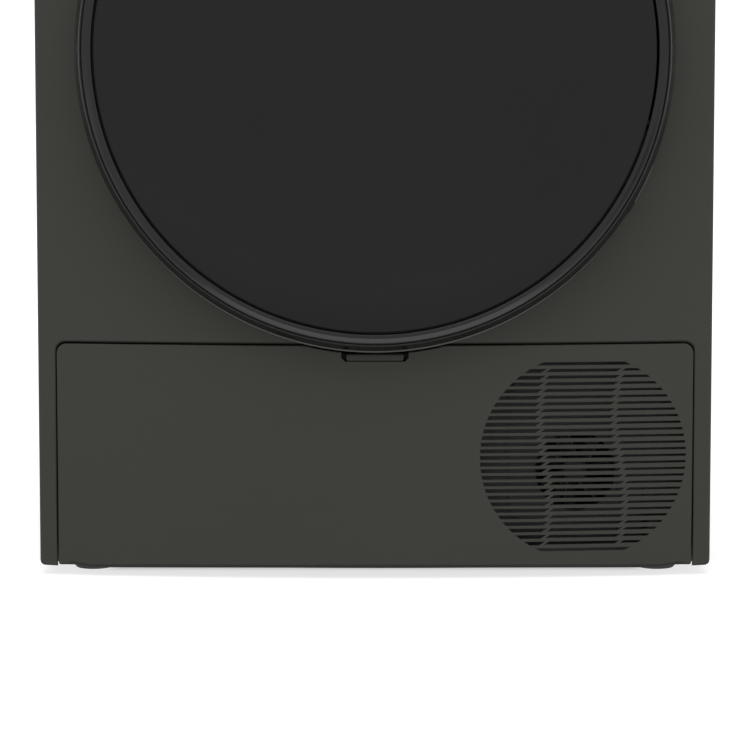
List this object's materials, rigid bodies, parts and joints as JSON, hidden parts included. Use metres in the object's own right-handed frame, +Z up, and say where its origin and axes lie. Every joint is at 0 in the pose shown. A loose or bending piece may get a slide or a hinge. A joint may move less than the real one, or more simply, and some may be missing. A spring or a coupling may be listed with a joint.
{
  "type": "clothes dryer",
  "caption": "Free-standing heat-pump clothes dryer: bulged front, round glass door, drop-down kick panel with round louvre, pull-out water tank and turning drum.",
  "frame": {"origin": "floor level under the middle of the overall box", "axes": "X to the right seen from the front, the front faces -Y, Z up"},
  "size_m": [0.6, 0.64, 0.85],
  "materials": {
    "cabinet_paint": "satin",
    "front_plastic": "satin",
    "worktop_moulding": "satin, moulded slab",
    "fascia_plastic": "satin",
    "gloss_black": "gloss",
    "dark_glass": "gloss",
    "display_glass": "gloss",
    "clear_glass": "gloss",
    "galvanised_steel": "dull zinc",
    "stainless": "brushed",
    "grey_plastic": "moulded",
    "dark_plastic": "moulded",
    "white_plastic": "moulded",
    "lamp_lens": "frosted",
    "felt": "felt",
    "seal_rubber": "soft",
    "black_rubber": "soft",
    "black_enamel": "black enamel",
    "fin_aluminium": "finned",
    "copper": "drawn tube",
    "latch_blue": "moulded",
    "filter_plastic": "moulded with mesh"
  },
  "bodies": {
    "cabinet": {"base_tray": "dark_plastic", "left_side_panel": "cabinet_paint", "right_side_panel": "cabinet_paint", "rear_panel": "galvanised_steel", "rear_duct_cover": "galvanised_steel", "top_panel": "worktop_moulding", "top_rails": "galvanised_steel", "front_panel": "front_plastic", "front_bulkhead": "grey_plastic", "control_fascia": "fascia_plastic", "display_lens": "display_glass", "tank_housing": "grey_plastic", "door_hinge_bracket": "galvanised_steel", "drum_front_seal": "felt", "drum_rear_seal": "felt", "rear_bearing": "galvanised_steel", "drum_lamp": "lamp_lens", "humidity_strips": "stainless", "drive_belt": "black_rubber", "motor_housing": "galvanised_steel", "blower_housing": "dark_plastic", "compressor": "black_enamel", "evaporator": "fin_aluminium", "condenser": "fin_aluminium", "refrigerant_pipes": "copper", "hx_duct_cover": "dark_plastic", "hx_access_cover": "dark_plastic", "intake_plate": "dark_plastic", "drain_pump": "dark_plastic", "rear_fittings": "dark_plastic"},
    "door": {"door_ring": "gloss_black", "door_glass": "dark_glass", "door_inner_frame": "dark_plastic", "door_window": "clear_glass", "door_seal": "seal_rubber", "door_hinge_arm": "galvanised_steel", "door_hook": "galvanised_steel"},
    "drum": {"drum_shell": "stainless", "drum_back": "stainless", "drum_lifters": "dark_plastic"},
    "motor": {"motor_rotor": "galvanised_steel"},
    "idler_arm": {"idler_arm": "galvanised_steel"},
    "idler_pulley": {"idler_pulley": "white_plastic"},
    "roller_left": {"front_roller_left": "black_rubber"},
    "roller_right": {"front_roller_right": "black_rubber"},
    "kick_panel": {"kick_panel": "front_plastic"},
    "kick_latch": {"kick_latch": "front_plastic"},
    "hx_latch_left": {"hx_latch_left": "latch_blue"},
    "hx_latch_right": {"hx_latch_right": "latch_blue"},
    "water_tank": {"water_tank": "white_plastic", "tank_front": "fascia_plastic"},
    "program_knob": {"program_knob": "fascia_plastic"},
    "power_button": {"power_button": "fascia_plastic"},
    "start_button": {"start_button": "fascia_plastic"},
    "lint_filter": {"lint_filter": "filter_plastic"},
    "cooling_fan": {"cooling_fan": "dark_plastic"},
    "foot_front_left": {"foot_front_left": "black_rubber"},
    "foot_front_right": {"foot_front_right": "black_rubber"},
    "foot_rear_left": {"foot_rear_left": "black_rubber"},
    "foot_rear_right": {"foot_rear_right": "black_rubber"}
  },
  "joints": [
    {"name": "door_hinge", "type": "hinge", "parent": "cabinet", "child": "door", "pos_m": [0.245, -0.3, 0.466], "axis": [0, 0, 1], "range_deg": [0, 115]},
    {"name": "drum_spin", "type": "hinge", "parent": "cabinet", "child": "drum", "pos_m": [0, 0, 0.505], "axis": [0, 1, 0], "continuous": true},
    {"name": "motor_spin", "type": "hinge", "parent": "cabinet", "child": "motor", "pos_m": [0.205, 0, 0.2], "axis": [0, 1, 0], "continuous": true},
    {"name": "idler_arm_swing", "type": "hinge", "parent": "cabinet", "child": "idler_arm", "pos_m": [0.172, 0.0865, 0.168], "axis": [0, 1, 0], "range_deg": [0, 4], "stiffness_Nm_per_rad": 4, "springref_deg": -8.59},
    {"name": "idler_pulley_spin", "type": "hinge", "parent": "idler_arm", "child": "idler_pulley", "pos_m": [0.135, 0.1, 0.2], "axis": [0, 1, 0], "continuous": true},
    {"name": "roller_left_spin", "type": "hinge", "parent": "cabinet", "child": "roller_left", "pos_m": [-0.14103, -0.192, 0.23976], "axis": [0, 1, 0], "continuous": true},
    {"name": "roller_right_spin", "type": "hinge", "parent": "cabinet", "child": "roller_right", "pos_m": [0.14103, -0.192, 0.23976], "axis": [0, 1, 0], "continuous": true},
    {"name": "kick_panel_hinge", "type": "hinge", "parent": "cabinet", "child": "kick_panel", "pos_m": [0, -0.277, 0.02], "axis": [1, 0, 0], "range_deg": [0, 85]},
    {"name": "kick_latch_press", "type": "slide", "parent": "kick_panel", "child": "kick_latch", "axis": [0, 1, 0], "range_m": [0, 0.003], "stiffness_N_per_m": 500},
    {"name": "hx_latch_left_turn", "type": "hinge", "parent": "cabinet", "child": "hx_latch_left", "pos_m": [-0.26, -0.245, 0.115], "axis": [0, 1, 0], "range_deg": [0, 90]},
    {"name": "hx_latch_right_turn", "type": "hinge", "parent": "cabinet", "child": "hx_latch_right", "pos_m": [-0.04, -0.245, 0.115], "axis": [0, 1, 0], "range_deg": [0, 90]},
    {"name": "water_tank_slide", "type": "slide", "parent": "cabinet", "child": "water_tank", "axis": [0, -1, 0], "range_m": [0, 0.38]},
    {"name": "program_knob_turn", "type": "hinge", "parent": "cabinet", "child": "program_knob", "pos_m": [-0.03, -0.3, 0.782], "axis": [0, -1, 0], "continuous": true},
    {"name": "power_button_press", "type": "slide", "parent": "cabinet", "child": "power_button", "axis": [0, 1, 0], "range_m": [0, 0.0012], "stiffness_N_per_m": 600},
    {"name": "start_button_press", "type": "slide", "parent": "cabinet", "child": "start_button", "axis": [0, 1, 0], "range_m": [0, 0.0012], "stiffness_N_per_m": 600},
    {"name": "lint_filter_lift", "type": "slide", "parent": "cabinet", "child": "lint_filter", "axis": [0, 0, 1], "range_m": [0, 0.1]},
    {"name": "cooling_fan_spin", "type": "hinge", "parent": "cabinet", "child": "cooling_fan", "pos_m": [0.181, -0.218, 0.089], "axis": [0, 1, 0], "continuous": true},
    {"name": "foot_front_left_screw", "type": "slide", "parent": "cabinet", "child": "foot_front_left", "axis": [0, 0, -1], "range_m": [0, 0.012]},
    {"name": "foot_front_right_screw", "type": "slide", "parent": "cabinet", "child": "foot_front_right", "axis": [0, 0, -1], "range_m": [0, 0.012]},
    {"name": "foot_rear_left_screw", "type": "slide", "parent": "cabinet", "child": "foot_rear_left", "axis": [0, 0, -1], "range_m": [0, 0.012]},
    {"name": "foot_rear_right_screw", "type": "slide", "parent": "cabinet", "child": "foot_rear_right", "axis": [0, 0, -1], "range_m": [0, 0.012]}
  ],
  "couplings": [
    {"joint": "motor_spin", "follows": "drum_spin", "ratio": 30.556},
    {"joint": "idler_pulley_spin", "follows": "drum_spin", "ratio": 15.278},
    {"joint": "roller_left_spin", "follows": "drum_spin", "ratio": -11},
    {"joint": "roller_right_spin", "follows": "drum_spin", "ratio": -11}
  ]
}
